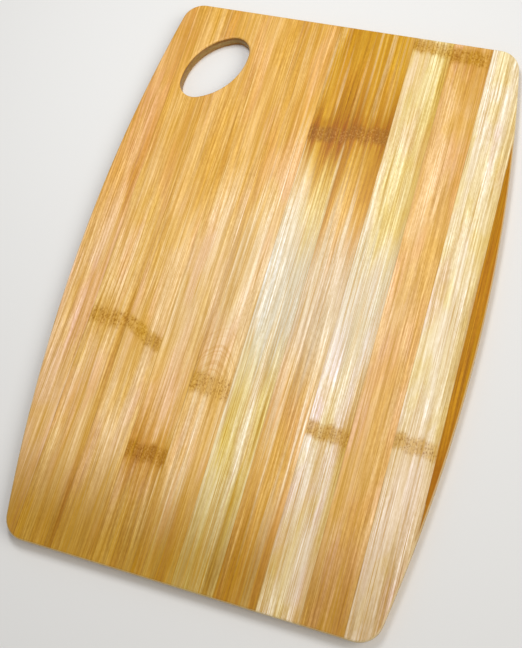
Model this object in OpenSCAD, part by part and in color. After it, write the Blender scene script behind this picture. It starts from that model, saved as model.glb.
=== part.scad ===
// Bamboo cutting board with bowed sides and a slanted oval hanging hole, pressed from three plies of
// bamboo strips: the face and back strips run lengthwise and the core strips run across them.
// Millimetres, +Z up. The origin is the middle of the underside, and +Y points to the end with the hole.

/* [Board] */
// Length from end to end, along the grain of the face
board_l = 330; // [260:5:450]
// Width across the middle, where the sides bow out furthest
board_w = 228; // [190:2:320]
// How far each side bows out between its ends
side_bow = 15; // [6:1:24]
// Radius of the four corners, seen from above
corner_r = 12.5; // [6:0.5:24]
// Radius of the eased edges round the outside and round the hole
edge_r = 1.25; // [0.5:0.25:2]

/* [Plies] */
// Thickness of the face ply, and of the back ply
skin_t = 2.5; // [2.25:0.25:5]
// Thickness of the core ply
core_t = 3; // [2:0.25:8]
// Width of a face or back strip
strip_w = 22.25; // [20:0.25:30]
// Width of a core strip
core_strip_w = 24.5; // [23:0.25:34]
// Least width of the strip at an edge, under which its neighbour runs out to the edge instead
least_strip_w = 7; // [5:0.5:12]
// Width of an edge strip at its square ends, where the bowed side has narrowed it
least_tip_w = 2.5; // [1.5:0.5:4]

/* [Hanging hole] */
// Length of the oval
hole_l = 48; // [40:1:54]
// Width of the oval
hole_w = 29; // [24:0.5:32]
// Turn of the oval's long axis from the X axis, in degrees
hole_turn = 56; // [40:1:75]
// Distance of the hole's centre from the nearer end of the board
hole_from_end = 40.5; // [36:0.5:60]
// Distance of the hole's centre from the line that touches the nearer side where it bows furthest
hole_from_side = 42.75; // [40:0.25:60]

/* [Hidden] */
$fn = 48;
side_fn = 360;
board_t = skin_t + core_t + skin_t;
core_z = skin_t;
face_z = skin_t + core_t;
half_l = board_l / 2;
half_w = board_w / 2;
// How far a cutting tool runs past the surface that it cuts
overrun = 1;

// Each side is one arc that bows out by side_bow, with its radius rounded to a hundredth
side_r = round(100 * (half_l * half_l + side_bow * side_bow) / (2 * side_bow)) / 100;
side_centre = half_w - side_r;
// Each corner arc runs into a side arc and a straight end
corner_y = half_l - corner_r;
corner_from = asin(corner_y / (side_r - corner_r));
corner_x = side_centre + (side_r - corner_r) * cos(corner_from);

// The oval has two tight end arcs, and two wide side arcs that run into them. The centres of an end
// arc and a side arc are the far corners of a 3-4-5 triangle, so the arcs meet on its longest side.
hole_x = hole_from_side - half_w;
hole_y = half_l - hole_from_end;
oval_unit = (hole_l - hole_w) / 4;
end_arc_x = 3 * oval_unit;
side_arc_y = 4 * oval_unit;
end_arc_r = hole_l / 2 - end_arc_x;
side_arc_r = hole_w / 2 + side_arc_y;
meet_x = end_arc_x + 3 * end_arc_r;
meet_y = 4 * end_arc_r;
hole_reach = hole_l / 2 + edge_r;

// A seam of each ply runs through the middle of the hole, so the hole cuts no strip in two. The strips
// at the edges are at least so wide, and the core strips at the ends hold whole corners.
function seams(through, pitch, half, least) = [
    for (k = [ceil((least - half - through) / pitch) : floor((half - least - through) / pitch)])
        through + k * pitch
];
function strip_edges(through, pitch, half, least) = concat(
    [-half - overrun], seams(through, pitch, half, least), [half + overrun]
);
skin_edges = strip_edges(hole_x, strip_w, half_w, least_strip_w);
core_edges = strip_edges(hole_y, core_strip_w, half_l, max(least_strip_w, corner_r + edge_r));
skin_count = len(skin_edges) - 1;
core_count = len(core_edges) - 1;

// How far the strip outside a seam runs each way from the middle before it narrows to least_tip_w
function edge_reach(seam) =
    let (y = sqrt(pow(side_r, 2) - pow(abs(seam) + least_tip_w - side_centre, 2)))
    y < corner_y ? y : board_l;
skin_reach = concat(
    [edge_reach(skin_edges[1])],
    [for (i = [1 : skin_count - 2]) board_l],
    [edge_reach(skin_edges[skin_count - 1])]
);

function strip_name(ply, i) = str(ply, "_strip_", i < 9 ? "0" : "", i + 1);

// Bamboo shades, from pale to deep, that neighbouring strips take in turn
shades = ["#E3B26B", "#DDA65C", "#E6B572", "#D9A950", "#E0B468", "#EBCB7C", "#D7A548", "#F0D68C", "#E2A962"];
core_shade = "#C9A25A";

// Half of the board's cross-section, out to an eased edge at reach
module eased_section(reach) {
    square([reach - edge_r, board_t]);
    translate([0, edge_r])
        square([reach, board_t - 2 * edge_r]);
    for (z = [edge_r, board_t - edge_r])
        translate([reach - edge_r, z])
            circle(edge_r);
}

module mirrored(axis) {
    children();
    mirror(axis)
        children();
}

// Moves its children in a whole, a fine and a finest step, so that the arcs of a corner meet exactly
module moved(by) {
    whole = [for (d = by) round(d)];
    fine = [for (d = by - whole) round(1000 * d) / 1000];
    translate(whole)
        translate(fine)
            translate(by - whole - fine)
                children();
}

module at_corners() {
    mirrored([1, 0, 0])
        mirrored([0, 1, 0])
            moved([corner_x, corner_y, 0])
                children();
}

// Everything inside the arc of the right side
module within_side() {
    translate([side_centre, 0, 0])
        rotate_extrude($fn = side_fn)
            eased_section(side_r);
}

// Everything between the two straight ends
module within_ends() {
    rotate([90, 0, 90])
        linear_extrude(2 * board_w, center = true)
            mirrored([1, 0, 0])
                eased_section(half_l);
}

// Everything inside the side arcs and the straight ends, which meet at sharp corners
module plate() {
    intersection() {
        within_side();
        mirror([1, 0, 0])
            within_side();
        within_ends();
    }
}

// The wedge between a corner arc's two ends, as seen from its centre
module corner_wedge() {
    reach = 2 * corner_r;
    translate([0, 0, -overrun])
        linear_extrude(board_t + 2 * overrun)
            polygon([[0, 0], [reach, reach * tan(corner_from)], [reach, reach], [0, reach]]);
}

// What rounding off a corner takes away
module corner_waste() {
    difference() {
        corner_wedge();
        rotate_extrude()
            eased_section(corner_r);
    }
}

// Half of the hole's cross-section: straight in the middle, and flaring out round the eased rims
module hole_section(reach) {
    difference() {
        translate([0, -overrun])
            square([reach + edge_r, board_t + 2 * overrun]);
        translate([reach, edge_r])
            square([2 * edge_r, board_t - 2 * edge_r]);
        for (z = [edge_r, board_t - edge_r])
            translate([reach + edge_r, z])
                circle(edge_r);
    }
}

module hole_end() {
    intersection() {
        translate([end_arc_x, 0, 0])
            rotate_extrude()
                hole_section(end_arc_r);
        translate([0, 0, -2 * overrun])
            linear_extrude(board_t + 4 * overrun)
                polygon([[end_arc_x, 0], [meet_x, -meet_y], [meet_x, meet_y]]);
    }
}

module hole_side() {
    intersection() {
        translate([0, -side_arc_y, 0])
            rotate_extrude()
                hole_section(side_arc_r);
        translate([0, 0, -2 * overrun])
            linear_extrude(board_t + 4 * overrun)
                polygon([[-end_arc_x, 0], [end_arc_x, 0], [meet_x, meet_y], [-meet_x, meet_y]]);
    }
}

module hole() {
    translate([hole_x, hole_y, 0])
        rotate(hole_turn) {
            mirrored([1, 0, 0])
                hole_end();
            mirrored([0, 1, 0])
                hole_side();
        }
}

module box(low, high) {
    translate(low)
        cube(high - low);
}

// The part of the finished board between two opposite corners of a box
module piece(low, high) {
    reaches_corner = max(-low.x, high.x) > corner_x && max(-low.y, high.y) > corner_y;
    reaches_hole = low.x < hole_x + hole_reach && high.x > hole_x - hole_reach
        && low.y < hole_y + hole_reach && high.y > hole_y - hole_reach;
    difference() {
        intersection() {
            box(low, high);
            plate();
        }
        if (reaches_corner) at_corners() corner_waste();
        if (reaches_hole) hole();
    }
}

// A strip from seam to seam. Beside a shorter edge strip it also runs out to the edge past both ends.
module lengthwise_strip(i, z0, z1) {
    last = skin_count - 1;
    past_left = i == 1 && skin_reach[0] < half_l;
    past_right = i == last - 1 && skin_reach[last] < half_l;
    low = [skin_edges[past_left ? 0 : i], -skin_reach[i], z0];
    high = [skin_edges[past_right ? last + 1 : i + 1], skin_reach[i], z1];
    color(shades[i % len(shades)])
        difference() {
            piece(low, high);
            if (past_left) edge_space(low.x - overrun, skin_edges[1], skin_reach[0]);
            if (past_right) edge_space(skin_edges[last], high.x + overrun, skin_reach[last]);
        }
}

module edge_space(from, to, reach) {
    box([from, -reach, -2 * overrun], [to, reach, board_t + 2 * overrun]);
}

module face_strip(i) {
    lengthwise_strip(i, face_z, board_t + overrun);
}

module back_strip(i) {
    lengthwise_strip(i, -overrun, core_z);
}

module core_strip(i) {
    color(core_shade)
        piece([-board_w, core_edges[i], core_z], [board_w, core_edges[i + 1], face_z]);
}

for (i = [0 : skin_count - 1]) {
    face_strip(i);
    back_strip(i);
}
for (i = [0 : core_count - 1]) {
    core_strip(i);
}
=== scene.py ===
"""Looks of the bamboo cutting board: fine strips of its face, core and back plies, and a small studio.

Every length is in metres. The board lies flat with +Z up, and its hanging hole is near the +Y end.
"""

import math
from typing import NamedTuple

import bmesh
import bpy
from bpy.props import FloatProperty, FloatVectorProperty, PointerProperty
from bpy.types import NodeSocket, Operator, Panel, PropertyGroup
from mathutils import Matrix, Vector
from mathutils.geometry import tessellate_polygon


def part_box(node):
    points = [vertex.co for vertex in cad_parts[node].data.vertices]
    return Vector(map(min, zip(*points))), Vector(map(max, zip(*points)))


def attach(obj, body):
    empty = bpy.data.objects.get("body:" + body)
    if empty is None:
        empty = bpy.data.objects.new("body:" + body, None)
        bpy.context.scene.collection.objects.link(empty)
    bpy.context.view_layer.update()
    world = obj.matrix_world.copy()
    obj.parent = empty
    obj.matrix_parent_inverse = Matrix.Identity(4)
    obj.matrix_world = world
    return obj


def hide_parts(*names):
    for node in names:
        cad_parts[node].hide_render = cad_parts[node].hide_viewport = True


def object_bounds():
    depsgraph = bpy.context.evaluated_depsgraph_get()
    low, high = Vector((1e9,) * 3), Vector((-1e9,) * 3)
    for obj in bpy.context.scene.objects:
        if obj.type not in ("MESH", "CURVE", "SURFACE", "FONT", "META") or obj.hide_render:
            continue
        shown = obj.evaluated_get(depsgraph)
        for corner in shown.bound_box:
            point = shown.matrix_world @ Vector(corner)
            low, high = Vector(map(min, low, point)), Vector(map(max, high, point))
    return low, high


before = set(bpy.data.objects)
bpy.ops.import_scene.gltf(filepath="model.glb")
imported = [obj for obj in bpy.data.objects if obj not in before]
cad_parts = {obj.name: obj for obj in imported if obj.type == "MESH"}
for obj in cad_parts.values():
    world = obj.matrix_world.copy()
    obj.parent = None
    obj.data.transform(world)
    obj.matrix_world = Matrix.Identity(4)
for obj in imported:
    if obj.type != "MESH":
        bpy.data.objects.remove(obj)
LOW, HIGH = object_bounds()

bl_info = {
    "name": "Bamboo Cutting Board",
    "version": (1, 0, 0),
    "blender": (4, 5, 0),
    "location": "3D View > Sidebar > Cutting Board",
    "description": "Builds a three-ply bamboo cutting board from its strips, and a studio to show it in",
    "category": "Object",
}

MM = 0.001
# How far a cutting box runs past the surface that it doesn't shape
CUT_PAST = 20 * MM
SIDE_STEPS = 60
CORNER_STEPS = 14
HOLE_STEPS = 22
EDGE_STEPS = 7
# A ring of faces this far in from an eased edge keeps the face flat in smooth shading
SUPPORT = 0.35 * MM
CRISP_EDGE = math.radians(35)
# A strip that ends so far short of the board's end keeps its own square ends
SHORT_BY = 50 * MM
# The hole's end and side arcs meet on the long side of a 3-4-5 triangle
MEETING_ANGLE = math.atan2(4, 3)
FLOOR_RADIUS = 8.0
FLOOR_STEPS = 96
# Places in millimetres that are far off the board
NO_SEAM = 999.0
NO_KNUCKLE = 999.0
# The wall of the hole gets painted shade inside a circle round its oval. The circle fades out between these
# distances from the tips of the oval, in millimetres.
RIM_START = 0.3
RIM_STOP = 0.9
# The coat over a strip
USUAL_GLOSS = 0.15

# What a full tint multiplies the wood's linear red, green and blue by
PATCH_TINT = (0.94, 0.88, 0.54)
ROSY_TINT = (1.0, 0.94, 1.1)
MELLOW_TINT = (0.88, 0.79, 0.46)
STREAK_TINT = (0.80, 0.66, 0.28)
BORDER_TINT = (0.76, 0.61, 0.2)
ARCH_TINT = (0.8, 0.66, 0.42)
# Painted shade on the wall of the hole
PAINTED_HOLE_SHADE_TINT = (0.42, 0.34, 0.2)

# Size, place, aim and tint of each lamp
KEY_LAMP = ((0.13, 0.24), (-0.065, 0.18, 0.50), (-0.03, 0.10, 0), (0.92, 0.95, 1.0))
SOFTBOX = ((1.2, 1.0), (1.25, 0.25, 1.15), (0, 0, 0), (1.0, 0.99, 0.97))
# Place of the camera, and the ways that its right and its top point
CAMERA_AT = (0.12248, -0.15788, 0.49372)
CAMERA_RIGHT = (0.9470, 0.2792, -0.1589)
CAMERA_UP = (-0.2201, 0.9242, 0.3121)
SENSOR_HEIGHT = 36


def shade(code):
    """The linear colour of a six-digit hex code."""
    parts = [int(code[i : i + 2], 16) / 255 for i in (0, 2, 4)]
    return tuple(c / 12.92 if c <= 0.04045 else ((c + 0.055) / 1.055) ** 2.4 for c in parts)


def position(name, description, default, **limits):
    """A length that may be negative, in metres."""
    return FloatProperty(
        name=name, description=description, default=default, unit="LENGTH", precision=5, **limits
    )


def length(name, description, default):
    """A length that may not be negative, in metres."""
    return position(name, description, default, min=0)


def colour(name, description, code):
    """A colour whose default is a six-digit hex code."""
    return FloatVectorProperty(
        name=name, description=description, default=shade(code), subtype="COLOR", size=3, min=0, max=1
    )


class OutlineSizes(PropertyGroup):
    """The board's outline and its eased edges."""

    side_radius: length("Side radius", "Radius of the two long, gently bowed sides", 0.915)
    corner_radius: length("Corner radius", "Radius of the four corners", 0.0125)
    edge_radius: length("Edge radius", "Radius of every eased edge, round the board and the hole", 0.00125)


class HoleSizes(PropertyGroup):
    """The slanted oval hanging hole."""

    centre_x: position("Centre X", "Place of the hole across the board", -0.07125)
    centre_y: position("Centre Y", "Place of the hole along the board", 0.1245)
    length: length("Length", "Length of the oval", 0.048)
    width: length("Width", "Width of the oval", 0.029)
    turn: FloatProperty(
        name="Turn",
        description="Turn of the oval's long axis from across the board",
        default=math.radians(56),
        subtype="ANGLE",
    )


class BambooColours(PropertyGroup):
    """The shades that the strips take."""

    straw: colour("Straw", "Light yellow cane", "F1C88D")
    blush: colour("Blush", "Pale cane with a pink cast", "F2C99C")
    wheat: colour("Wheat", "Pale cane with a green cast", "ECD092")
    golden: colour("Golden", "Warm yellow cane", "E7B566")
    honey: colour("Honey", "Deep yellow cane", "D39D2B")
    dun: colour("Dun", "Dull warm cane", "E4AE68")
    lemon: colour("Lemon", "Pale yellow cane", "F1DCA4")
    petal: colour("Petal", "Cream with a pink cast", "F3DABF")
    peach: colour("Peach", "Warm orange cane", "ECBF84")
    bone: colour("Bone", "Pale cane with a pink cast, less bright than cream", "F4E0C4")
    stain: colour("Stain", "Tint that spreads along the fibres from a knuckle", "DEC85C")
    smear: colour("Smear", "Tint close to the darkest knuckles", "E6B442")
    # Colour of the pale patches about the middle of the board, partly pale cane and partly a painted sheen
    pearl_sheen: colour("Pearl", "Bleached patches", "D3C8B2")
    cream: colour("Cream", "The palest cane", "F6E4C4")
    amber: colour("Amber", "The deepest cane", "B07008")
    core: colour("Core", "Cane of the core", "BC9A58")
    # Colour of a painted highlight along the eased edges
    painted_edge_highlight: colour("Arris", "Sanded wood along the eased edges", "DCC896")
    tan: colour("Tan", "Tint that deepens towards the plain end", "C4B166")
    ochre: colour("Ochre", "Middle of a faint knuckle, and the thin dark fibres", "C08A08")
    brown: colour("Brown", "Middle of a dark knuckle", "955600")
    glue: colour("Glue", "Thin glue lines between the strips", "9A6A28")


class StudioLooks(PropertyGroup):
    """The floor, the lamps and the camera of the studio."""

    floor: colour("Floor", "Colour of the floor", "E9E7E3")
    fill: FloatProperty(
        name="Fill", description="Strength of the even light from all round", default=0.38, min=0
    )
    key: FloatProperty(
        name="Key lamp", description="Power of the near lamp", default=1.3, min=0, unit="POWER"
    )
    softbox: FloatProperty(
        name="Softbox", description="Power of the large lamp at the right", default=13.5, min=0, unit="POWER"
    )
    lens: FloatProperty(name="Lens", description="Focal length of the camera, in mm", default=53.98, min=1)


class Board(PropertyGroup):
    """All the sizes and colours of the board and its studio."""

    outline: PointerProperty(type=OutlineSizes)
    hole: PointerProperty(type=HoleSizes)
    colours: PointerProperty(type=BambooColours)
    studio: PointerProperty(type=StudioLooks)


# ---------------------------------------------------------------- the blank board


def outline_ring(sizes, inset):
    """The board's outline, moved inwards by inset."""
    side_x = min(HIGH.x, -LOW.x) - sizes.side_radius
    corner_y = HIGH.y - sizes.corner_radius
    reach = sizes.side_radius - sizes.corner_radius
    turn = math.asin(corner_y / reach)
    corner_x = side_x + reach * math.cos(turn)
    quarter = []
    for i in range(SIDE_STEPS):
        angle = turn * i / SIDE_STEPS
        radius = sizes.side_radius - inset
        quarter.append((side_x + radius * math.cos(angle), radius * math.sin(angle)))
    for i in range(CORNER_STEPS + 1):
        angle = turn + (math.pi / 2 - turn) * i / CORNER_STEPS
        radius = sizes.corner_radius - inset
        quarter.append((corner_x + radius * math.cos(angle), corner_y + radius * math.sin(angle)))
    return (
        quarter
        + [(-x, y) for x, y in reversed(quarter)]
        + [(-x, -y) for x, y in quarter[1:]]
        + [(x, -y) for x, y in reversed(quarter[1:])]
    )


def hole_ring(sizes, flare):
    """The oval of the hanging hole, grown by flare."""
    unit = (sizes.length - sizes.width) / 4
    end_x, side_y = 3 * unit, 4 * unit
    end_radius = sizes.length / 2 - end_x + flare
    side_radius = sizes.width / 2 + side_y + flare
    arcs = (
        (end_x, 0, end_radius, -MEETING_ANGLE, MEETING_ANGLE),
        (0, -side_y, side_radius, MEETING_ANGLE, math.pi - MEETING_ANGLE),
        (-end_x, 0, end_radius, math.pi - MEETING_ANGLE, math.pi + MEETING_ANGLE),
        (0, side_y, side_radius, math.pi + MEETING_ANGLE, 2 * math.pi - MEETING_ANGLE),
    )
    turn = Matrix.Rotation(sizes.turn, 2)
    ring = []
    for x, y, radius, start, stop in arcs:
        for i in range(HOLE_STEPS):
            angle = start + (stop - start) * i / HOLE_STEPS
            point = turn @ Vector((x + radius * math.cos(angle), y + radius * math.sin(angle)))
            ring.append((sizes.centre_x + point.x, sizes.centre_y + point.y))
    return ring


def edge_levels(sizes):
    """Pairs of height and inset, from the underside up round the eased edges to the face."""
    radius = sizes.edge_radius
    lower = [(LOW.z, radius + SUPPORT)]
    for i in range(EDGE_STEPS + 1):
        angle = math.pi / 2 * i / EDGE_STEPS
        lower.append((LOW.z + radius * (1 - math.cos(angle)), radius * (1 - math.sin(angle))))
    upper = [(LOW.z + HIGH.z - z, inset) for z, inset in reversed(lower)]
    return lower + upper


def board_blank(outline, hole):
    """A closed, finely rounded blank of the whole board, which each strip is cut from."""
    levels = edge_levels(outline)
    points, faces = [], []
    caps = {0: [], len(levels) - 1: []}
    for ring_of, sizes in ((outline_ring, outline), (hole_ring, hole)):
        rings = []
        for i, (z, inset) in enumerate(levels):
            ring = [Vector((x, y, z)) for x, y in ring_of(sizes, inset)]
            start = len(points)
            points.extend(ring)
            rings.append(range(start, start + len(ring)))
            if i in caps:
                caps[i].append(rings[-1])
        for below, above in zip(rings, rings[1:]):
            count = len(below)
            for i in range(count):
                j = (i + 1) % count
                faces.append((below[i], below[j], above[j], above[i]))
    for rings in caps.values():
        names = [i for ring in rings for i in ring]
        loops = [[points[i] for i in ring] for ring in rings]
        faces.extend(tuple(names[i] for i in corner) for corner in tessellate_polygon(loops))
    mesh = bpy.data.meshes.new("board_blank")
    mesh.from_pydata(points, [], faces)
    work = bmesh.new()
    work.from_mesh(mesh)
    bmesh.ops.recalc_face_normals(work, faces=work.faces)
    work.to_mesh(mesh)
    work.free()
    blank = bpy.data.objects.new("board_blank", mesh)
    bpy.context.scene.collection.objects.link(blank)
    return blank


# ---------------------------------------------------------------- node trees


class Wiring:
    """Adds nodes to a tree, sets or links their inputs, and hands back the output."""

    def __init__(self, tree):
        self.tree = tree

    def node(self, kind, inputs=(), **settings):
        """A new node whose inputs, by label or number, are linked or set."""
        made = self.tree.nodes.new(kind)
        for name, value in settings.items():
            setattr(made, name, value)
        for key, value in dict(inputs).items():
            socket = made.inputs[key]
            if isinstance(value, NodeSocket):
                self.tree.links.new(value, socket)
            else:
                socket.default_value = value
        return made

    def maths(self, operation, *values, clamp=False):
        return self.node("ShaderNodeMath", enumerate(values), operation=operation, use_clamp=clamp).outputs[0]

    def times(self, *values):
        """The product of all the values."""
        product = values[0]
        for value in values[1:]:
            product = self.maths("MULTIPLY", product, value)
        return product

    def away(self, value, place):
        """How far the value is from a place, either way."""
        return self.maths("ABSOLUTE", self.maths("SUBTRACT", value, place))

    def vector(self, operation, first, second):
        """The sum or difference of two vectors, or a vector times a number."""
        other = "Scale" if operation == "SCALE" else 1
        made = self.node("ShaderNodeVectorMath", {0: first, other: second}, operation=operation)
        return made.outputs[0]

    def join(self, x, y, z):
        return self.node("ShaderNodeCombineXYZ", enumerate((x, y, z))).outputs[0]

    def split(self, point):
        return self.node("ShaderNodeSeparateXYZ", {0: point}).outputs

    def step(self, value, start, stop, low=0.0, high=1.0):
        """Smoothly from low to high while value goes from start to stop."""
        made = self.node(
            "ShaderNodeMapRange",
            {"Value": value, "From Min": start, "From Max": stop, "To Min": low, "To Max": high},
            interpolation_type="SMOOTHSTEP",
        )
        return made.outputs[0]

    def noise(self, x, y, z, detail, roughness=0.5):
        """Noise whose three coordinates are already in features, not in lengths."""
        made = self.node(
            "ShaderNodeTexNoise",
            {"Vector": self.join(x, y, z), "Scale": 1.0, "Detail": detail, "Roughness": roughness},
        )
        return made.outputs[0]

    def blend(self, amount, first, second, kind="MIX"):
        """The first colour, and more of the second as the amount goes from 0 to 1."""
        pair = [value if isinstance(value, NodeSocket) else (*value, 1.0) for value in (first, second)]
        made = self.node(
            "ShaderNodeMix", {0: amount, 6: pair[0], 7: pair[1]}, data_type="RGBA", blend_type=kind
        )
        return made.outputs[2]

    def dye(self, amount, base, tint):
        """The base colour, multiplied by a tint as far as the amount says."""
        return self.blend(amount, base, self.blend(1.0, base, tint, "MULTIPLY"))


def new_group(name, kind, inputs, outputs):
    """A node tree with named sockets, and the sockets inside it."""
    tree = bpy.data.node_groups.new(name, kind)
    for label, socket in inputs:
        tree.interface.new_socket(label, in_out="INPUT", socket_type=socket)
    for label, socket in outputs:
        tree.interface.new_socket(label, in_out="OUTPUT", socket_type=socket)
    wiring = Wiring(tree)
    given = tree.nodes.new("NodeGroupInput").outputs
    result = tree.nodes.new("NodeGroupOutput").inputs
    return tree, wiring, given, result


def strip_tree():
    """Geometry Nodes that cut one strip out of the blank, between two opposite corners of a box."""
    tree, wiring, given, result = new_group(
        "board_strip",
        "GeometryNodeTree",
        (
            ("Blank", "NodeSocketObject"),
            ("Low", "NodeSocketVector"),
            ("High", "NodeSocketVector"),
            ("Notched", "NodeSocketBool"),
            ("Notch Low", "NodeSocketVector"),
            ("Notch High", "NodeSocketVector"),
            ("Material", "NodeSocketMaterial"),
        ),
        (("Strip", "NodeSocketGeometry"),),
    )

    def box(low, high):
        size = wiring.vector("SUBTRACT", high, low)
        middle = wiring.vector("SCALE", wiring.vector("ADD", low, high), 0.5)
        cube = wiring.node("GeometryNodeMeshCube", {"Size": size}).outputs["Mesh"]
        moved = wiring.node("GeometryNodeTransform", {"Geometry": cube, "Translation": middle})
        return moved.outputs["Geometry"]

    blank = wiring.node("GeometryNodeObjectInfo", {"Object": given["Blank"]}).outputs["Geometry"]
    cut = wiring.node("GeometryNodeMeshBoolean", operation="INTERSECT", solver="EXACT")
    for mesh in (blank, box(given["Low"], given["High"])):
        tree.links.new(mesh, cut.inputs["Mesh 2"])
    notch = wiring.node("GeometryNodeMeshBoolean", operation="DIFFERENCE", solver="EXACT")
    tree.links.new(cut.outputs["Mesh"], notch.inputs["Mesh 1"])
    tree.links.new(box(given["Notch Low"], given["Notch High"]), notch.inputs["Mesh 2"])
    either = wiring.node(
        "GeometryNodeSwitch",
        {"Switch": given["Notched"], "False": cut.outputs["Mesh"], "True": notch.outputs["Mesh"]},
        input_type="GEOMETRY",
    )
    smooth = wiring.node(
        "GeometryNodeSetShadeSmooth", {"Geometry": either.outputs[0], "Shade Smooth": True}, domain="FACE"
    )
    angle = wiring.node("GeometryNodeInputMeshEdgeAngle").outputs["Unsigned Angle"]
    corner = wiring.node("FunctionNodeCompare", {0: angle, 1: CRISP_EDGE}, operation="GREATER_THAN")
    crisp = wiring.node(
        "GeometryNodeSetShadeSmooth",
        {"Geometry": smooth.outputs[0], "Selection": corner.outputs[0], "Shade Smooth": False},
        domain="EDGE",
    )
    covered = wiring.node(
        "GeometryNodeSetMaterial", {"Geometry": crisp.outputs[0], "Material": given["Material"]}
    )
    real = wiring.node("GeometryNodeRealizeInstances", {"Geometry": covered.outputs[0]})
    tree.links.new(real.outputs[0], result["Strip"])
    return tree


def floats(*labels):
    """Pairs of a label and the socket type of a number."""
    return tuple((label, "NodeSocketFloat") for label in labels)


def knuckle_group():
    """The band across a strip where the cane had a knuckle: its middle, its stain and its speckles."""
    tree, wiring, given, result = new_group(
        "knuckle",
        "ShaderNodeTree",
        (("Point", "NodeSocketVector"), *floats("Place", "Slope", "Height", "Stain", "Lean", "Seed")),
        floats("Band", "Halo", "Near", "Speckle"),
    )
    across, along, _ = wiring.split(given["Point"])
    seed = given["Seed"]

    # Both noises stay about a half, so half of both swings is taken off to keep the knuckle in its place
    wide_swing, fine_swing = 6.0, 1.8
    wide = wiring.noise(wiring.times(across, 0.16), seed, 3.0, detail=1.0)
    fine = wiring.noise(wiring.times(across, 0.9), seed, 9.0, detail=1.0)
    swing = wiring.maths("ADD", wiring.times(wide, wide_swing), wiring.times(fine, fine_swing))
    wobble = wiring.maths("SUBTRACT", swing, (wide_swing + fine_swing) / 2)
    middle = wiring.maths("ADD", given["Place"], wiring.times(across, given["Slope"]))
    distance = wiring.maths("SUBTRACT", along, wiring.maths("ADD", middle, wobble))
    away = wiring.maths("ABSOLUTE", distance)
    band = wiring.step(wiring.maths("DIVIDE", away, given["Height"]), 0.55, 1.3, 1.0, 0.0)

    # The stain runs out along the fibres in fingers of uneven length
    streak = wiring.noise(wiring.times(across, 0.45), wiring.times(along, 0.01), seed, detail=3.0)
    fingers = wiring.times(given["Stain"], wiring.step(streak, 0.36, 0.64, 0.15, 1.9))
    reach = wiring.maths("ADD", fingers, 0.01)
    off_middle = wiring.away(distance, given["Lean"])
    halo = wiring.step(wiring.maths("DIVIDE", off_middle, reach), 0.0, 1.2, 1.0, 0.0)
    near = wiring.step(wiring.maths("DIVIDE", away, reach), 0.0, 0.55, 1.0, 0.0)

    dots = wiring.noise(wiring.times(across, 1.05), wiring.times(along, 0.75), seed, detail=1.0)
    speckle = wiring.times(wiring.maths("SUBTRACT", dots, 0.5), band, 2.0)
    for name, value in (("Band", band), ("Halo", halo), ("Near", near), ("Speckle", speckle)):
        tree.links.new(value, result[name])
    return tree


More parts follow.
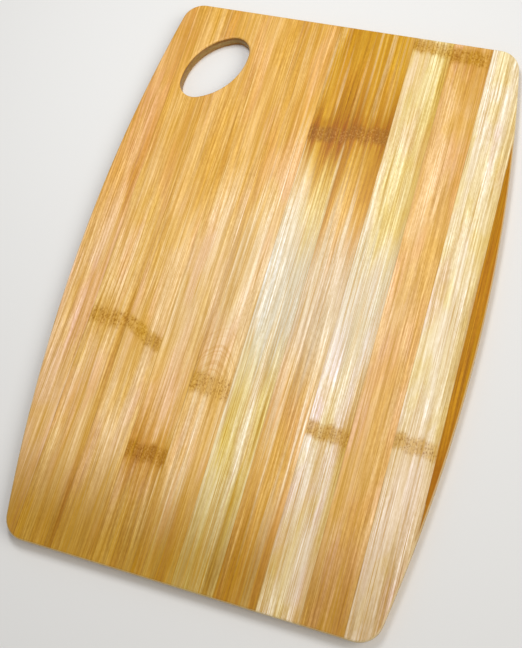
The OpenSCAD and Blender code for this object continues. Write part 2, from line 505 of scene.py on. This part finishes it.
class Bamboo(Wiring):
    """Wires up bamboo whose fibres run along the second coordinate of Point, which is in millimetres."""

    def __init__(self, tree, given, colours):
        super().__init__(tree)
        self.given = given
        self.colours = colours
        self.seed = given["Seed"]
        # Seams are straight, and the fibres drift a little from side to side
        self.straight, self.along, self.depth = self.split(given["Point"])
        drift = self.noise(self.times(self.along, 0.012), self.seed, 1.0, detail=1.0)
        self.across = self.maths("ADD", self.straight, self.times(drift, 1.2))
        self.broad = self.fibres(7.0, 130.0, 2.0, detail=2.0)
        self.medium = self.fibres(2.6, 110.0, 4.0, detail=2.0)
        self.narrow = self.fibres(1.15, 75.0, 5.0, detail=3.0)
        self.fine = self.fibres(0.55, 28.0, 6.0, detail=3.0, roughness=0.6)

    def fibres(self, width, long, shift, detail, roughness=0.5):
        """Noise in fibres of a width and length, the same on every face of the strip."""
        return self.noise(
            self.maths("MULTIPLY_ADD", self.across, 1 / width, self.seed),
            self.maths("MULTIPLY_ADD", self.along, 1 / long, shift),
            self.maths("MULTIPLY_ADD", self.depth, 1 / width, self.seed),
            detail,
            roughness,
        )

    def lower_share(self):
        """How far the lower shade has taken over, past a ragged turning."""
        turn = self.noise(self.times(self.across, 0.2), self.seed, 5.0, detail=1.0)
        turning = self.maths("ADD", self.given["Turning"], self.maths("MULTIPLY_ADD", turn, 60.0, -30.0))
        return self.step(self.maths("SUBTRACT", self.along, turning), -28.0, 28.0, 1.0, 0.0)

    def rind_share(self):
        """Where the strip runs out past the end of its shorter neighbour, and is as dark as that one."""
        past = self.step(self.maths("SUBTRACT", self.straight, self.given["High Seam"]), 0.0, 0.3)
        return self.times(past, self.given["Rind"])

    def hairlines(self):
        """Thin lines, here and there, where a slow noise passes a half."""
        lines = []
        for width, long, shift, breadth in ((1.5, 190.0, 8.0, 0.045), (0.8, 110.0, 19.0, 0.06)):
            off_line = self.away(self.fibres(width, long, shift, detail=1.0), 0.5)
            shown = self.step(self.fibres(4.0, 60.0, shift + 18.0, detail=2.0), 0.38, 0.58)
            lines.append(self.times(self.step(off_line, 0.0, breadth, 1.0, 0.0), shown))
        return self.maths("MAXIMUM", *lines)

    def streaked(self, toned):
        """Short patches, rosy cane, broad mellow streaks and narrower deep ones."""
        patches = self.step(self.fibres(9.0, 30.0, 14.0, detail=3.0), 0.48, 0.66)
        toned = self.dye(self.times(patches, 0.7), toned, PATCH_TINT)
        rosy = self.step(self.fibres(11.0, 55.0, 41.0, detail=2.0), 0.46, 0.62)
        toned = self.dye(rosy, toned, ROSY_TINT)
        mellow = self.maths("MULTIPLY_ADD", self.given["Streaks"], 1.0, 0.55)
        toned = self.dye(self.times(self.step(self.broad, 0.44, 0.64), mellow), toned, MELLOW_TINT)
        deep = self.times(self.step(self.medium, 0.46, 0.64), self.given["Streaks"])
        return self.dye(deep, toned, STREAK_TINT)

    def bordered(self, toned, inner):
        """A deep streak of uneven width along either seam."""
        for side in ("Low", "High"):
            off_seam = self.away(self.across, self.given[side + " Seam"])
            wander = self.noise(self.times(self.along, 0.018), self.seed, 23.0, detail=1.0)
            edge = self.step(off_seam, 0.5, self.times(wander, 11.0), 1.0, 0.0)
            toned = self.dye(self.times(edge, self.given[side + " Border"], inner), toned, BORDER_TINT)
        return toned

    def paled(self, toned, lower, inner):
        """Paler about the middle of the board, partly pale cane and partly a painted sheen, with pale streaks
        all along.
        """
        ragged = self.maths("MULTIPLY_ADD", self.medium, 70.0, -33.0)
        off_middle = self.maths("ABSOLUTE", self.maths("ADD", self.along, ragged))
        # A pale patch about the middle of the board, partly pale cane and partly a painted sheen
        bleach_and_sheen = self.times(self.step(off_middle, 12.0, 66.0, 1.0, 0.0), self.given["Bleach"])
        toned = self.blend(bleach_and_sheen, toned, tuple(self.colours.pearl_sheen))
        bloom = self.times(self.given["Bloom"], self.maths("MULTIPLY_ADD", lower, 0.4, 0.6), inner)
        pale = self.times(self.step(self.medium, 0.52, 0.3), bloom)
        return self.blend(pale, toned, tuple(self.colours.cream))

    def deepened(self, toned):
        """Darker towards the plain end."""
        near_end = self.step(self.given["End Distance"], 8.0, 70.0, 1.0, 0.0)
        return self.dye(self.times(near_end, self.given["Deepening"]), toned, tuple(self.colours.tan))

    def arched(self, toned):
        """Thin arches over the knuckle, one inside the other."""
        above = self.maths("SUBTRACT", self.along, self.given["Knuckle"])
        middle = self.times(self.maths("ADD", self.given["Low Seam"], self.given["High Seam"]), 0.5)
        sideways = self.maths("SUBTRACT", self.across, middle)
        bend = self.times(sideways, sideways, 0.09)
        rings = self.maths("ADD", above, self.maths("ADD", bend, self.times(self.broad, 9.0)))
        lines = self.step(self.noise(self.times(rings, 0.45), self.seed, 31.0, detail=1.0), 0.47, 0.6)
        shown = self.times(self.step(above, 3.0, 10.0), self.step(above, 24.0, 44.0, 1.0, 0.0))
        return self.dye(self.times(lines, shown, self.given["Arches"]), toned, ARCH_TINT)

    def knuckled(self, toned, knuckle, place, reach, seed_shift):
        """One knuckle over the wood, and its speckles for the relief."""
        joint = self.node("ShaderNodeGroup", node_tree=knuckle)
        seed = self.maths("ADD", self.seed, seed_shift)
        for label, value in (("Place", place), ("Stain", reach), ("Seed", seed)):
            self.tree.links.new(value, joint.inputs[label])
        for label in ("Point", "Slope", "Height", "Lean"):
            self.tree.links.new(self.given[label], joint.inputs[label])
        depth, speckle, colours = self.given["Depth"], joint.outputs["Speckle"], self.colours

        toned = self.dye(self.times(joint.outputs["Halo"], depth), toned, tuple(colours.stain))
        smear = self.times(joint.outputs["Near"], self.maths("POWER", depth, 3.0), 0.9)
        toned = self.dye(smear, toned, tuple(colours.smear))
        middle = self.blend(self.step(depth, 0.25, 0.9), tuple(colours.ochre), tuple(colours.brown))
        blotches = self.noise(self.times(self.across, 0.11), self.seed, 37.0, detail=1.0)
        uneven = self.step(blotches, 0.35, 0.6, 0.55, 1.25)
        amount = self.times(self.maths("MULTIPLY_ADD", depth, 0.3, 0.45), uneven, joint.outputs["Band"])
        toned = self.blend(amount, toned, middle)
        dark = self.maths("MULTIPLY", speckle, 1.5, clamp=True)
        toned = self.blend(dark, toned, tuple(colours.brown))
        # Speckles below nothing are the pale ones, and they are fainter on a dark knuckle
        pale = self.maths("MULTIPLY", speckle, self.maths("MULTIPLY_ADD", depth, 0.5, -1.1), clamp=True)
        return self.blend(pale, toned, tuple(colours.golden)), speckle

    def shaded(self, toned, hairlines):
        """The light and dark of single fibres, which deepens the blue most, and the dark hairlines."""
        light = self.times(
            self.step(self.narrow, 0.3, 0.7, 1.14, 0.88),
            self.step(self.fine, 0.28, 0.72, 1.18, 0.85),
            self.step(self.fibres(0.9, 2.6, 12.0, detail=1.0), 0.2, 0.8, 1.07, 0.93),
        )
        contrast = self.step(self.fibres(16.0, 60.0, 21.0, detail=1.0), 0.35, 0.65, 0.6, 1.25)
        light = self.maths("POWER", light, contrast)
        tint = self.join(light, self.maths("POWER", light, 1.4), self.maths("POWER", light, 2.2))
        toned = self.blend(1.0, toned, tint, "MULTIPLY")
        return self.blend(self.times(hairlines, 0.6), toned, tuple(self.colours.ochre))

    def glued(self, toned):
        """Thin, broken glue lines at both seams, and where they are for the relief."""
        seams = (self.away(self.straight, self.given[side + " Seam"]) for side in ("Low", "High"))
        line = self.step(self.maths("MINIMUM", *seams), 0.05, 0.4, 1.0, 0.0)
        gaps = self.noise(self.times(self.along, 0.05), self.seed, 7.0, detail=2.0)
        broken = self.step(gaps, 0.35, 0.7, 0.05, 0.6)
        return self.blend(self.times(line, broken), toned, tuple(self.colours.glue)), line

    def walled(self, toned):
        """Painted shade on the wall of the hole, the pores of the end grain, and a painted highlight along
        the eased edges.
        """
        # Painted shade on the wall of the hole
        toned = self.dye(self.given["Bore"], toned, PAINTED_HOLE_SHADE_TINT)
        pores = self.step(self.fibres(0.55, 30.0, 11.0, detail=1.0), 0.5, 0.68)
        ends = self.times(self.given["End Grain"], self.maths("MULTIPLY_ADD", pores, 0.35, 0.15))
        toned = self.blend(ends, toned, tuple(self.colours.glue))
        # A painted highlight along the eased edges
        return self.blend(self.times(self.given["Arris"], 0.6), toned, tuple(self.colours.painted_edge_highlight))


def bamboo_group(knuckle, colours):
    """The bamboo of every strip, whose inputs give each strip its own looks."""
    tree, _, given, result = new_group(
        "bamboo",
        "ShaderNodeTree",
        (
            ("Point", "NodeSocketVector"),
            ("Upper", "NodeSocketColor"),
            ("Lower", "NodeSocketColor"),
            # Two of these are painted light: shade on the wall of the hole, and a highlight along the eased
            # edges
            *floats("End Grain", "Bore", "Arris", "End Distance"),
            *floats("Turning", "Streaks", "Bloom", "Seed", "Deepening", "Arches", "Bleach", "Rind"),
            *floats("Low Seam", "High Seam", "Low Border", "High Border"),
            *floats("Knuckle", "Slope", "Height", "Stain", "Lean", "Depth", "Far Knuckle"),
        ),
        (("Colour", "NodeSocketColor"), *floats("Roughness", "Relief")),
    )
    bamboo = Bamboo(tree, given, colours)
    lower = bamboo.lower_share()
    rind = bamboo.rind_share()
    inner = bamboo.maths("SUBTRACT", 1.0, rind)
    hairlines = bamboo.hairlines()
    toned = bamboo.blend(lower, given["Upper"], given["Lower"])
    toned = bamboo.blend(rind, toned, tuple(colours.amber))
    toned = bamboo.streaked(toned)
    toned = bamboo.bordered(toned, inner)
    toned = bamboo.paled(toned, lower, inner)
    toned = bamboo.deepened(toned)
    toned = bamboo.arched(toned)
    far_reach = bamboo.times(given["Stain"], 0.3)
    toned, speckle = bamboo.knuckled(toned, knuckle, given["Knuckle"], given["Stain"], 0.0)
    toned, far_speckle = bamboo.knuckled(toned, knuckle, given["Far Knuckle"], far_reach, 17.0)
    toned = bamboo.shaded(toned, hairlines)
    toned, glue_line = bamboo.glued(toned)
    toned = bamboo.walled(toned)

    rough = bamboo.maths("MULTIPLY_ADD", bamboo.fine, 0.25, 0.3)
    rough = bamboo.maths("MULTIPLY_ADD", given["End Grain"], 0.2, rough)
    relief = bamboo.maths("ADD", bamboo.narrow, bamboo.fine)
    for lowered, share in ((hairlines, 0.35), (glue_line, 0.5), (speckle, 0.6), (far_speckle, 0.6)):
        relief = bamboo.maths("SUBTRACT", relief, bamboo.times(lowered, share))
    for label, value in (("Colour", toned), ("Roughness", rough), ("Relief", relief)):
        tree.links.new(value, result[label])
    return tree


def bamboo_material(name, group, crosswise, values, gloss=USUAL_GLOSS):
    """One strip's bamboo. Crosswise strips have their fibres along X instead of Y."""
    hole = bpy.context.scene.bamboo_board.hole
    material = bpy.data.materials.new(name)
    material.use_nodes = True
    tree = material.node_tree
    tree.nodes.clear()
    wiring = Wiring(tree)
    point = wiring.node("ShaderNodeTexCoord").outputs["Object"]
    x, y, z = wiring.split(wiring.vector("SCALE", point, 1 / MM))
    normal = wiring.split(wiring.node("ShaderNodeNewGeometry").outputs["Normal"])
    across, along, facing = (y, x, normal[0]) if crosswise else (x, y, normal[1])

    # Painted shade on the wall of the hole, where the core is darkened less than the face and the back
    offset = wiring.join(
        wiring.maths("SUBTRACT", x, hole.centre_x / MM), wiring.maths("SUBTRACT", y, hole.centre_y / MM), 0.0
    )
    apart = wiring.node("ShaderNodeVectorMath", {0: offset}, operation="LENGTH").outputs["Value"]
    rim = hole.length / 2 / MM
    inside = wiring.step(apart, rim + RIM_START, rim + RIM_STOP, 1.0, 0.0)
    level = wiring.maths("ABSOLUTE", normal[2])
    upright = wiring.step(level, 0.25, 0.6, 0.5 if crosswise else 1.0, 0.0)
    # Painted highlight on the eased edges, and a little of the upright walls between them
    eased = wiring.times(wiring.step(level, 0.75, 0.97, 1.0, 0.0), wiring.step(level, 0.1, 0.45, 0.25, 1.0))

    bamboo = wiring.node("ShaderNodeGroup", node_tree=group)
    links = {
        "Point": wiring.join(across, along, z),
        "End Distance": wiring.maths("SUBTRACT", y, LOW.y / MM),
        "End Grain": wiring.step(wiring.maths("ABSOLUTE", facing), 0.55, 0.95),
        # Painted shade on the wall of the hole
        "Bore": wiring.times(inside, upright),
        # A painted highlight on the eased edges, away from the hole
        "Arris": wiring.times(eased, wiring.maths("SUBTRACT", 1.0, inside)),
    }
    for label, value in links.items():
        tree.links.new(value, bamboo.inputs[label])
    for label, value in values.items():
        bamboo.inputs[label].default_value = value
    bump = wiring.node(
        "ShaderNodeBump", {"Strength": 0.35, "Distance": 0.12 * MM, "Height": bamboo.outputs["Relief"]}
    )
    finish = wiring.node(
        "ShaderNodeBsdfPrincipled",
        {
            "Base Color": bamboo.outputs["Colour"],
            "Roughness": bamboo.outputs["Roughness"],
            "Normal": bump.outputs[0],
            "Coat Weight": gloss,
            "Specular IOR Level": 0.32,
            "Specular Tint": (1.0, 0.8, 0.35, 1.0),
            "Coat Roughness": 0.27,
        },
    )
    out = wiring.node("ShaderNodeOutputMaterial", {"Surface": finish.outputs[0]})
    out.is_active_output = True
    return material


# ---------------------------------------------------------------- the strips


def strips_of(ply):
    """The names of a ply's strips, in order."""
    return sorted(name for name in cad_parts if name.startswith(ply))


def strip_sockets(tree):
    """The identifier of each of a tree's inputs, by its label."""
    return {item.name: item.identifier for item in tree.interface.items_tree if item.in_out == "INPUT"}


def make_strip(name, blank, tree, material, low, high, notch=None):
    """Cuts one strip, and puts it in the place of the strip's plain solid."""
    strip = bpy.data.objects.new("bamboo_" + name, bpy.data.meshes.new("bamboo_" + name))
    bpy.context.scene.collection.objects.link(strip)
    cutter = strip.modifiers.new("strip", "NODES")
    cutter.node_group = tree
    sockets = strip_sockets(tree)
    notch_low, notch_high = notch or (low, high)
    for label, value in (
        ("Blank", blank),
        ("Low", tuple(low)),
        ("High", tuple(high)),
        ("Notched", notch is not None),
        ("Notch Low", tuple(notch_low)),
        ("Notch High", tuple(notch_high)),
        ("Material", material),
    ):
        cutter[sockets[label]] = value
    graph = bpy.context.evaluated_depsgraph_get()
    mesh = bpy.data.meshes.new_from_object(strip.evaluated_get(graph))
    if len(mesh.polygons) == 0:
        raise RuntimeError(f"{name} came out empty")
    strip.modifiers.clear()
    strip.data = mesh
    mesh.name = strip.name
    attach(strip, "root")
    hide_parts(name)
    return strip


class Layout(NamedTuple):
    """The looks of one ply's strips. In every mapping the key is a strip's number, from 1."""

    # Colour above and below the turning, its place, and the strength of streaks, bloom and deepening;
    # the looks start again where they run out
    looks: tuple
    first_seed: float
    seed_step: float = 7.3
    # Strength of the deep streak along the low and the high seam
    borders: dict = {}
    # Place, slope, half height, and the reach, lean and depth of the stain
    knuckles: dict = {}
    far_knuckles: dict = {}
    # Strips with arches over their knuckle
    arched: tuple = ()
    # How far a strip is paled about the middle of the board, partly pale cane and partly a painted sheen
    bleached_and_sheen: dict = {}
    # Strips whose outer edge, past the ends of the amber edge strip, is amber too
    rinds: tuple = ()
    # The coat of a strip that hasn't the usual one
    glosses: dict = {}


FACE = Layout(
    looks=(
        ("dun", "blush", 20, 0.3, 0.1, 1.0),
        ("golden", "straw", 55, 0.3, 0.15, 1.0),
        ("golden", "straw", 25, 0.3, 0.2, 1.0),
        ("golden", "straw", 50, 0.35, 0.2, 1.0),
        ("golden", "straw", 70, 0.4, 0.4, 1.0),
        ("honey", "lemon", 66, 0.5, 0.6, 0.9),
        ("honey", "golden", 62, 0.5, 0.5, 0.9),
        ("lemon", "bone", 10, 0.3, 0.3, 0.15),
        ("peach", "peach", 0, 0.3, 0.05, 0.75),
        ("cream", "petal", -60, 0.05, 0.15, 0.5),
        ("amber", "amber", 0, 0.1, 0.0, 0.6),
    ),
    first_seed=3.0,
    borders={
        2: (0.0, 0.5),
        3: (0.3, 0.0),
        5: (0.5, 0.0),
        6: (0.3, 0.35),
        7: (0.35, 0.0),
        8: (0.0, 0.7),
        10: (0.0, 0.5),
    },
    knuckles={
        2: (-39, 0.0, 5.0, 14, 0.0, 0.5),
        3: (-43, -0.45, 4.5, 10, 0.0, 0.25),
        4: (-105, 0.0, 5.0, 26, 2.0, 0.75),
        5: (-62, -0.05, 6.0, 9, 0.0, 0.2),
        6: (94, 0.05, 5.0, 24, 7.0, 1.0),
        7: (98, 0.0, 5.0, 18, 6.0, 0.92),
        8: (-71, -0.05, 4.5, 10, -2.0, 0.42),
        9: (157, 0.0, 5.0, 24, -4.0, 0.5),
        10: (-66.5, -0.1, 4.5, 8, 0.0, 0.3),
    },
    far_knuckles={8: 162},
    arched=(5,),
    # Pale patches about the middle of the board, partly pale cane and partly a painted sheen
    bleached_and_sheen={4: 0.15, 5: 0.25, 6: 0.85, 7: 0.6, 8: 0.6},
    rinds=(10,),
    glosses={8: 0.2, 11: 0.0},
)
BACK = Layout(
    looks=(
        ("golden", "golden", 0, 0.35, 0.1, 0.3),
        ("straw", "straw", 0, 0.35, 0.2, 0.3),
        ("golden", "straw", 30, 0.4, 0.2, 0.3),
        ("peach", "peach", 0, 0.3, 0.1, 0.3),
        ("straw", "wheat", 0, 0.4, 0.3, 0.3),
        ("golden", "golden", 0, 0.5, 0.2, 0.3),
        ("straw", "straw", 0, 0.35, 0.2, 0.3),
        ("peach", "blush", 0, 0.3, 0.2, 0.3),
        ("golden", "straw", -20, 0.4, 0.2, 0.3),
        ("straw", "straw", 0, 0.3, 0.3, 0.3),
        ("peach", "peach", 0, 0.2, 0.1, 0.3),
    ),
    first_seed=211.0,
    borders={1: (0.0, 0.4), 4: (0.5, 0.0), 6: (0.0, 0.5), 9: (0.4, 0.0)},
    knuckles={
        1: (30, 0.0, 5.0, 14, 0.0, 0.5),
        3: (-118, 0.1, 5.0, 18, 3.0, 0.7),
        4: (64, -0.1, 5.5, 12, 0.0, 0.5),
        6: (-22, 0.0, 5.0, 20, 5.0, 0.8),
        7: (121, 0.05, 5.0, 14, 0.0, 0.6),
        8: (-84, 0.0, 5.0, 12, -2.0, 0.5),
        10: (38, 0.1, 5.0, 18, 0.0, 0.7),
    },
    arched=(4, 8),
)
CORE = Layout(looks=(("core", "core", 0, 0.4, 0.1, 0.0),), first_seed=101.0, seed_step=5.7)
NO_BORDERS = (0.0, 0.0)
UNSEEN_KNUCKLE = (NO_KNUCKLE, 0.0, 5.0, 10, 0.0, 0.5)
ARCH_STRENGTH = 0.5


def strip_values(number, layout, seams):
    """The bamboo group's own values for one strip, numbered from 1, between two seams in millimetres."""
    colours = bpy.context.scene.bamboo_board.colours
    upper, lower, turning, streaks, bloom, deepening = layout.looks[(number - 1) % len(layout.looks)]
    low_border, high_border = layout.borders.get(number, NO_BORDERS)
    place, slope, height, stain, lean, depth = layout.knuckles.get(number, UNSEEN_KNUCKLE)
    return {
        "Upper": (*getattr(colours, upper), 1.0),
        "Lower": (*getattr(colours, lower), 1.0),
        "Turning": turning,
        "Streaks": streaks,
        "Bloom": bloom,
        "Deepening": deepening,
        "Arches": ARCH_STRENGTH if number in layout.arched else 0.0,
        "Bleach": layout.bleached_and_sheen.get(number, 0.0),
        "Rind": 1.0 if number in layout.rinds else 0.0,
        "Low Border": low_border,
        "High Border": high_border,
        "Seed": layout.first_seed + layout.seed_step * (number - 1),
        "Low Seam": seams[0],
        "High Seam": seams[1],
        "Knuckle": place - slope * sum(seams) / 2,
        "Slope": slope,
        "Height": height,
        "Stain": stain,
        "Lean": lean,
        "Depth": depth,
        "Far Knuckle": layout.far_knuckles.get(number, NO_KNUCKLE),
    }


def make_lengthwise(ply, layout):
    """The strips of the face or of the back, from left to right."""
    blank = bpy.data.objects["board_blank"]
    tree = bpy.data.node_groups["board_strip"]
    group = bpy.data.node_groups["bamboo"]
    names = strips_of(ply)
    boxes = [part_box(name) for name in names]
    last = len(names) - 1
    for i, name in enumerate(names):
        low, high = (corner.copy() for corner in boxes[i])
        next_seam = HIGH.x if i == last else boxes[i + 1][0].x
        seams = (NO_SEAM if i == 0 else low.x / MM, NO_SEAM if i == last else next_seam / MM)
        values = strip_values(i + 1, layout, seams)
        gloss = layout.glosses.get(i + 1, USUAL_GLOSS)
        material = bamboo_material("bamboo_" + name, group, False, values, gloss)
        if high.y > HIGH.y - SHORT_BY:
            low.y, high.y = LOW.y - CUT_PAST, HIGH.y + CUT_PAST
        if ply == "back":
            low.z = LOW.z - CUT_PAST
        else:
            high.z = HIGH.z + CUT_PAST
        if i == 0:
            low.x = LOW.x - CUT_PAST
        notch = None
        if i == last:
            high.x = HIGH.x + CUT_PAST
        elif high.x > next_seam + MM:
            # It runs out to the board's edge past both ends of the strip beside it
            high.x = HIGH.x + CUT_PAST
            notch_low, notch_high = (corner.copy() for corner in boxes[i + 1])
            notch_high.x = HIGH.x + 2 * CUT_PAST
            notch_low.z -= CUT_PAST
            notch_high.z += CUT_PAST
            notch = (notch_low, notch_high)
        make_strip(name, blank, tree, material, low, high, notch)


class BOARD_OT_blank(Operator):
    """Make the blank that the strips are cut from, and the node trees that they share"""

    bl_idname = "bamboo_board.blank"
    bl_label = "Blank and bamboo"

    def execute(self, context):
        board = context.scene.bamboo_board
        board_blank(board.outline, board.hole)
        strip_tree()
        bamboo_group(knuckle_group(), board.colours)
        return {"FINISHED"}


class BOARD_OT_face(Operator):
    """Cut the lengthwise strips of the face"""

    bl_idname = "bamboo_board.face"
    bl_label = "Face strips"

    def execute(self, context):
        make_lengthwise("face", FACE)
        return {"FINISHED"}


class BOARD_OT_back(Operator):
    """Cut the lengthwise strips of the back"""

    bl_idname = "bamboo_board.back"
    bl_label = "Back strips"

    def execute(self, context):
        make_lengthwise("back", BACK)
        return {"FINISHED"}


class BOARD_OT_core(Operator):
    """Cut the crosswise strips of the core"""

    bl_idname = "bamboo_board.core"
    bl_label = "Core strips"

    def execute(self, context):
        blank = bpy.data.objects["board_blank"]
        tree = bpy.data.node_groups["board_strip"]
        group = bpy.data.node_groups["bamboo"]
        names = strips_of("core")
        last = len(names) - 1
        for i, name in enumerate(names):
            low, high = (corner.copy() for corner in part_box(name))
            seams = (NO_SEAM if i == 0 else low.y / MM, NO_SEAM if i == last else high.y / MM)
            values = strip_values(i + 1, CORE, seams)
            material = bamboo_material("bamboo_" + name, group, True, values)
            low.x, high.x = LOW.x - CUT_PAST, HIGH.x + CUT_PAST
            if i == 0:
                low.y = LOW.y - CUT_PAST
            if i == last:
                high.y = HIGH.y + CUT_PAST
            make_strip(name, blank, tree, material, low, high)
        return {"FINISHED"}


class BOARD_OT_studio(Operator):
    """Set up the floor, the lamps and the camera"""

    bl_idname = "bamboo_board.studio"
    bl_label = "Studio"

    def execute(self, context):
        looks = context.scene.bamboo_board.studio
        make_floor(looks)
        make_world(looks)
        make_lamp("key_lamp", looks.key, *KEY_LAMP)
        make_lamp("softbox", looks.softbox, *SOFTBOX)
        make_camera(looks)
        return {"FINISHED"}


def make_floor(looks):
    """A wide, pale, matt floor under the board."""
    mesh = bpy.data.meshes.new("floor")
    rim = [2 * math.pi * i / FLOOR_STEPS for i in range(FLOOR_STEPS)]
    points = [(FLOOR_RADIUS * math.cos(angle), FLOOR_RADIUS * math.sin(angle), LOW.z) for angle in rim]
    mesh.from_pydata(points, [], [range(FLOOR_STEPS)])
    floor = bpy.data.objects.new("floor", mesh)
    bpy.context.scene.collection.objects.link(floor)
    material = bpy.data.materials.new("floor")
    material.use_nodes = True
    finish = material.node_tree.nodes["Principled BSDF"]
    finish.inputs["Base Color"].default_value = (*looks.floor, 1.0)
    finish.inputs["Roughness"].default_value = 0.85
    finish.inputs["Specular IOR Level"].default_value = 0.2
    mesh.materials.append(material)


def make_world(looks):
    """Even white light from all round."""
    world = bpy.data.worlds.new("studio")
    bpy.context.scene.world = world
    world.use_nodes = True
    background = world.node_tree.nodes["Background"]
    background.inputs["Color"].default_value = (1.0, 1.0, 1.0, 1.0)
    background.inputs["Strength"].default_value = looks.fill


def make_lamp(name, power, size, at, target, tint):
    """A rectangular lamp that is aimed at a target."""
    data = bpy.data.lights.new(name, "AREA")
    data.shape = "RECTANGLE"
    data.size, data.size_y = size
    data.energy = power
    data.color = tint
    lamp = bpy.data.objects.new(name, data)
    bpy.context.scene.collection.objects.link(lamp)
    lamp.location = at
    lamp.rotation_euler = (Vector(target) - Vector(at)).to_track_quat("-Z", "Y").to_euler()


def make_camera(looks):
    """The camera above the plain end, and plain colours with no film look."""
    data = bpy.data.cameras.new("camera")
    data.sensor_fit = "VERTICAL"
    data.sensor_height = SENSOR_HEIGHT
    data.lens = looks.lens
    data.clip_start = 0.02
    camera = bpy.data.objects.new("camera", data)
    bpy.context.scene.collection.objects.link(camera)
    right, up = Vector(CAMERA_RIGHT), Vector(CAMERA_UP)
    back = right.cross(up).normalized()
    right = up.cross(back).normalized()
    up = back.cross(right)
    turn = Matrix((right, up, back)).transposed().to_4x4()
    camera.matrix_world = Matrix.Translation(CAMERA_AT) @ turn
    bpy.context.scene.camera = camera
    bpy.context.scene.view_settings.view_transform = "Standard"


class BOARD_PT_panel(Panel):
    """The board's pieces and studio, in the order they are made"""

    bl_idname = "BOARD_PT_panel"
    bl_label = "Cutting Board"
    bl_space_type = "VIEW_3D"
    bl_region_type = "UI"
    bl_category = "Cutting Board"

    def draw(self, context):
        board = context.scene.bamboo_board
        for group in (board.outline, board.hole, board.colours, board.studio):
            column = self.layout.column(align=True)
            for name in group.bl_rna.properties.keys():
                if name not in ("rna_type", "name"):
                    column.prop(group, name)
        for step in STEPS:
            self.layout.operator(step.bl_idname)


STEPS = (BOARD_OT_studio, BOARD_OT_blank, BOARD_OT_face, BOARD_OT_core, BOARD_OT_back)
CLASSES = (OutlineSizes, HoleSizes, BambooColours, StudioLooks, Board, *STEPS, BOARD_PT_panel)


def register():
    for kind in CLASSES:
        bpy.utils.register_class(kind)
    bpy.types.Scene.bamboo_board = PointerProperty(type=Board)


def unregister():
    del bpy.types.Scene.bamboo_board
    for kind in reversed(CLASSES):
        bpy.utils.unregister_class(kind)


def main():
    register()
    bpy.ops.bamboo_board.studio()
    bpy.ops.bamboo_board.blank()
    bpy.ops.bamboo_board.face()
    bpy.ops.bamboo_board.core()
    bpy.ops.bamboo_board.back()
    # The strips are cut, so the blank has done its work
    bpy.data.objects.remove(bpy.data.objects["board_blank"])


if __name__ == "__main__":
    main()
